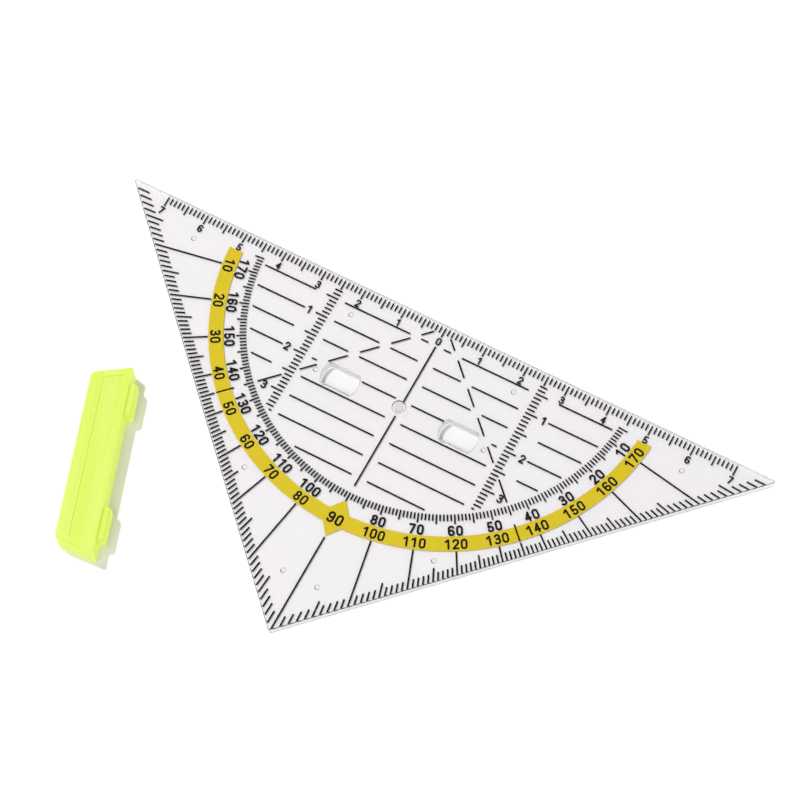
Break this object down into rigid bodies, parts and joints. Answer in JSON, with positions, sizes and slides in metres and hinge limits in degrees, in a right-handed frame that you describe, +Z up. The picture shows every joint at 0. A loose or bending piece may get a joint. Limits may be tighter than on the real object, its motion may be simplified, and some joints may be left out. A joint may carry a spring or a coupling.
{
  "type": "set square with protractor",
  "caption": "Clear triangular set square with a centimetre edge, a protractor, a height grid and a separate clip-on finger grip.",
  "frame": {"origin": "the middle of the layout's box, on the table plane; the zero mark of the centimetre scale is 41.63 mm further along +Y", "axes": "+X along the measuring edge, -Y towards the right-angled corner, +Z up from the table"},
  "size_m": [0.1574, 0.0832, 0.0064],
  "materials": {
    "clear_plastic": "clear moulded, polished",
    "neon_plastic": "moulded, satin",
    "black_ink": "printed, matt",
    "yellow_ink": "printed, matt"
  },
  "bodies": {
    "ruler": {"clear_plate": "clear_plastic", "edge_scale_print": "black_ink", "edge_numerals_print": "black_ink", "leg_degree_print": "black_ink", "degree_ring_print": "black_ink", "protractor_numerals_print": "black_ink", "grid_print": "black_ink", "height_scale_print": "black_ink", "height_numerals_print": "black_ink", "direction_line_print": "black_ink", "yellow_band_print": "yellow_ink"},
    "grip": {"finger_grip": "neon_plastic"}
  },
  "joints": [
    {"name": "grip_lift", "type": "slide", "parent": "ruler", "child": "grip", "axis": [0, 0, 1], "range_m": [0, 0.04]}
  ]
}
